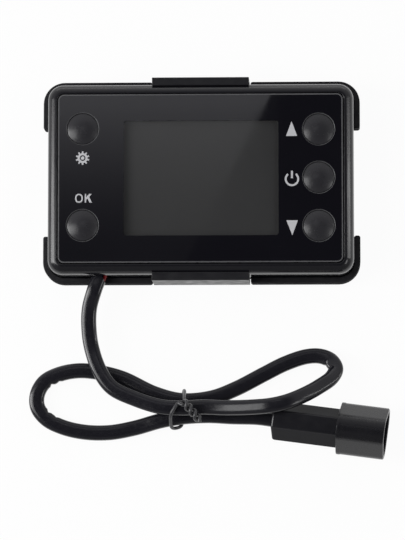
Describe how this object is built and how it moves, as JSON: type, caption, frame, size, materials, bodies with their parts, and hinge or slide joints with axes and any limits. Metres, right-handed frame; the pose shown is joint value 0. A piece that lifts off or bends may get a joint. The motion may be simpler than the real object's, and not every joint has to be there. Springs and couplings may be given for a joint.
{
  "type": "wired heater controller",
  "caption": "Flat wall-bracket control panel with a dark display, domed push buttons, a tied sleeved cord and a sealed connector.",
  "frame": {"origin": "centre of the bracket's flat back", "axes": "+X to the right of the panel, +Y up its face, +Z out of its face"},
  "size_m": [0.1134, 0.1197, 0.0171],
  "materials": {
    "bracket_plastic": "satin black moulded ABS",
    "case_plastic": "glossy black moulded ABS",
    "lens_acrylic": "polished black-backed acrylic",
    "button_plastic": "semi-gloss black caps",
    "display_glass": "dark grey polarised display, off",
    "backlight_plastic": "white moulded light guide",
    "board_laminate": "green solder mask",
    "black_component": "moulded epoxy and nylon",
    "steel": "zinc plated",
    "can_aluminium": "drawn can",
    "ivory_nylon": "natural nylon",
    "black_insulation": "extruded PVC",
    "blue_insulation": "extruded PVC",
    "red_insulation": "extruded PVC",
    "sleeve_vinyl": "glossy flexible PVC sleeve",
    "tie_vinyl": "vinyl-coated wire",
    "connector_nylon": "satin black nylon",
    "seal_rubber_plastic": "red-brown moulded lock",
    "seal_rubber": "silicone",
    "tinned_brass": "tin plated"
  },
  "bodies": {
    "controller": {"mounting_bracket": "bracket_plastic", "back_shell": "case_plastic", "front_bezel": "case_plastic", "front_lens": "lens_acrylic", "lcd_glass": "display_glass", "lcd_backlight": "backlight_plastic", "lcd_header": "black_component", "main_board": "board_laminate", "settings_switch": "black_component", "ok_switch": "black_component", "up_switch": "black_component", "power_switch": "black_component", "down_switch": "black_component", "housing_screw_1": "steel", "housing_screw_2": "steel", "housing_screw_3": "steel", "housing_screw_4": "steel", "board_screw_1": "steel", "board_screw_2": "steel", "mcu_chip": "black_component", "voltage_regulator": "black_component", "capacitor": "can_aluminium", "board_socket": "ivory_nylon", "wire_plug": "ivory_nylon", "black_lead": "black_insulation", "blue_lead": "blue_insulation", "red_lead": "red_insulation", "cord_sleeve": "sleeve_vinyl", "cord_tie": "tie_vinyl", "connector_housing": "connector_nylon", "terminal_lock": "seal_rubber_plastic", "wire_seal": "seal_rubber", "terminal_pin_1": "tinned_brass", "terminal_pin_2": "tinned_brass", "terminal_pin_3": "tinned_brass"},
    "settings_button_body": {"settings_button": "button_plastic", "settings_plunger": "black_component"},
    "ok_button_body": {"ok_button": "button_plastic", "ok_plunger": "black_component"},
    "up_button_body": {"up_button": "button_plastic", "up_plunger": "black_component"},
    "power_button_body": {"power_button": "button_plastic", "power_plunger": "black_component"},
    "down_button_body": {"down_button": "button_plastic", "down_plunger": "black_component"},
    "top_latch_body": {"top_latch": "bracket_plastic"},
    "bottom_latch_body": {"bottom_latch": "bracket_plastic"}
  },
  "joints": [
    {"name": "settings_press", "type": "slide", "parent": "controller", "child": "settings_button_body", "axis": [0, 0, -1], "range_m": [0, 0.0004], "stiffness_N_per_m": 600},
    {"name": "ok_press", "type": "slide", "parent": "controller", "child": "ok_button_body", "axis": [0, 0, -1], "range_m": [0, 0.0004], "stiffness_N_per_m": 600},
    {"name": "up_press", "type": "slide", "parent": "controller", "child": "up_button_body", "axis": [0, 0, -1], "range_m": [0, 0.0004], "stiffness_N_per_m": 600},
    {"name": "power_press", "type": "slide", "parent": "controller", "child": "power_button_body", "axis": [0, 0, -1], "range_m": [0, 0.0004], "stiffness_N_per_m": 600},
    {"name": "down_press", "type": "slide", "parent": "controller", "child": "down_button_body", "axis": [0, 0, -1], "range_m": [0, 0.0004], "stiffness_N_per_m": 600},
    {"name": "top_latch_flex", "type": "hinge", "parent": "controller", "child": "top_latch_body", "pos_m": [0, 0.03115, 0.0013], "axis": [-1, 0, 0], "range_deg": [0, 8], "stiffness_Nm_per_rad": 0.2},
    {"name": "bottom_latch_flex", "type": "hinge", "parent": "controller", "child": "bottom_latch_body", "pos_m": [0, -0.03115, 0.0013], "axis": [1, 0, 0], "range_deg": [0, 8], "stiffness_Nm_per_rad": 0.2}
  ]
}
